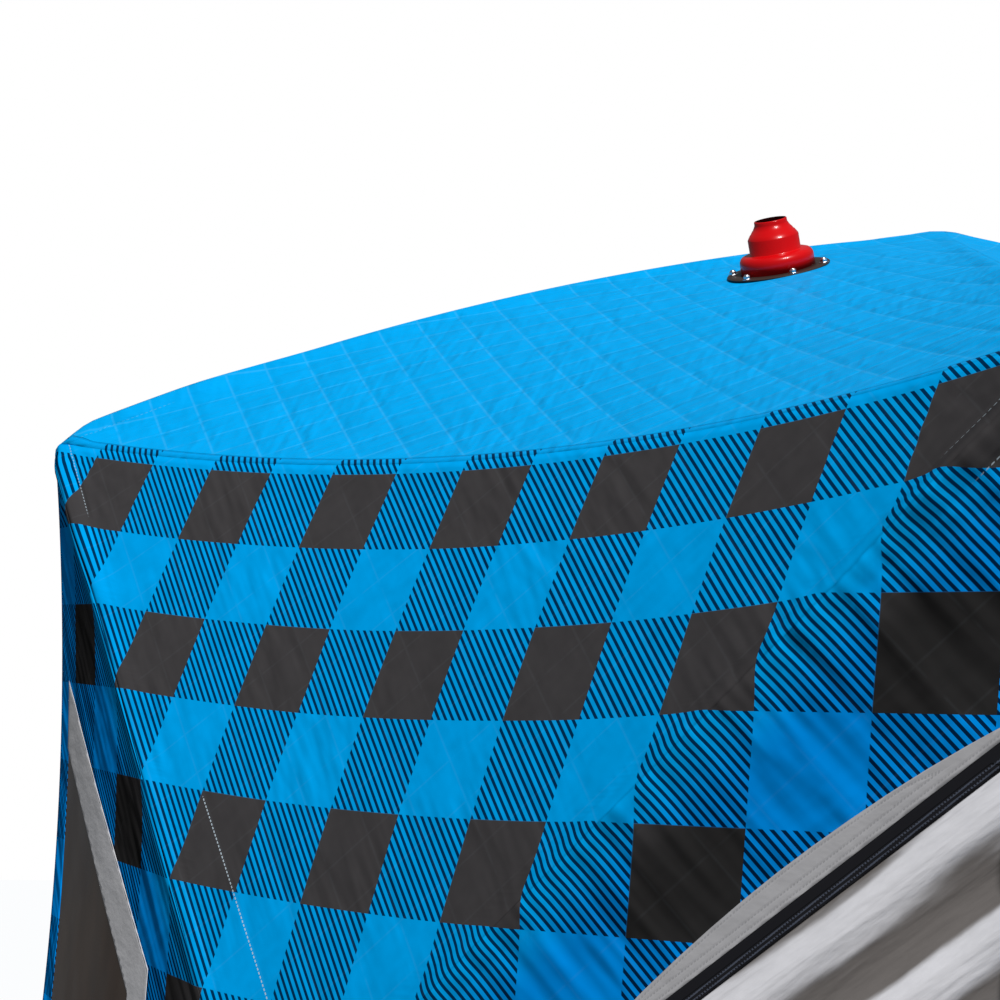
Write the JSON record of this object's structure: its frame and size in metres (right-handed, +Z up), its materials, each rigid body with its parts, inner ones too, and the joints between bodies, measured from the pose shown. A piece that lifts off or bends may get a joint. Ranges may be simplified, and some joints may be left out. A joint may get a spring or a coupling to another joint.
{
  "type": "pop-up ice fishing hut",
  "caption": "Square pop-up ice fishing hut: quilted plaid walls and blue roof pushed out by hubs and rods, with a side door, cut-tip windows, a snow skirt and a red chimney boot.",
  "frame": {"origin": "on the ground at the middle of the footprint", "axes": "+Z up, the wall with the door faces -Y"},
  "size_m": [2.24, 2.24, 2.0018],
  "materials": {
    "plaid_cloth": "quilted blue and black plaid cloth",
    "roof_cloth": "plain blue quilted cloth",
    "border_cloth": "light grey cloth",
    "clear_film": "clear window film",
    "zipper_tape": "black zipper tape with stitched teeth",
    "door_cloth": "shiny light grey cloth, wrinkled",
    "slider_metal": "black painted zipper slider",
    "rod_fibre": "black glass fibre rod",
    "hub_plastic": "black moulded plastic",
    "corner_plastic": "black moulded plastic",
    "skirt_cloth": "black coated cloth",
    "clamp_plate": "black clamping plate",
    "red_silicone": "glossy red silicone rubber",
    "bolt_steel": "bright steel",
    "webbing": "black woven webbing"
  },
  "bodies": {
    "root": {"back_rods": "rod_fibre", "back_skirt": "skirt_cloth", "back_wall_bottom": "plaid_cloth", "back_wall_left": "plaid_cloth", "back_wall_right": "plaid_cloth", "back_wall_top": "plaid_cloth", "chimney_bolts": "bolt_steel", "chimney_boot": "red_silicone", "chimney_plate": "clamp_plate", "corner_feet": "corner_plastic", "door_border": "border_cloth", "door_panel": "door_cloth", "door_zipper": "zipper_tape", "front_rods": "rod_fibre", "front_skirt": "skirt_cloth", "front_wall_bottom": "plaid_cloth", "front_wall_left": "plaid_cloth", "front_wall_right": "plaid_cloth", "front_wall_top": "plaid_cloth", "hub_caps": "hub_plastic", "left_rods": "rod_fibre", "left_skirt": "skirt_cloth", "left_wall_bottom": "plaid_cloth", "left_wall_left": "plaid_cloth", "left_wall_right": "plaid_cloth", "left_wall_top": "plaid_cloth", "peak_cover": "roof_cloth", "pull_loops": "webbing", "right_rods": "rod_fibre", "right_skirt": "skirt_cloth", "right_wall_bottom": "plaid_cloth", "right_wall_left": "plaid_cloth", "right_wall_right": "plaid_cloth", "right_wall_top": "plaid_cloth", "roof_back": "roof_cloth", "roof_front": "roof_cloth", "roof_hub": "hub_plastic", "roof_left": "roof_cloth", "roof_right": "roof_cloth", "roof_rods": "rod_fibre", "top_corners": "corner_plastic", "wall_hubs": "hub_plastic", "window_borders": "border_cloth", "window_panes": "clear_film", "zipper_slider": "slider_metal"}
  },
  "joints": []
}
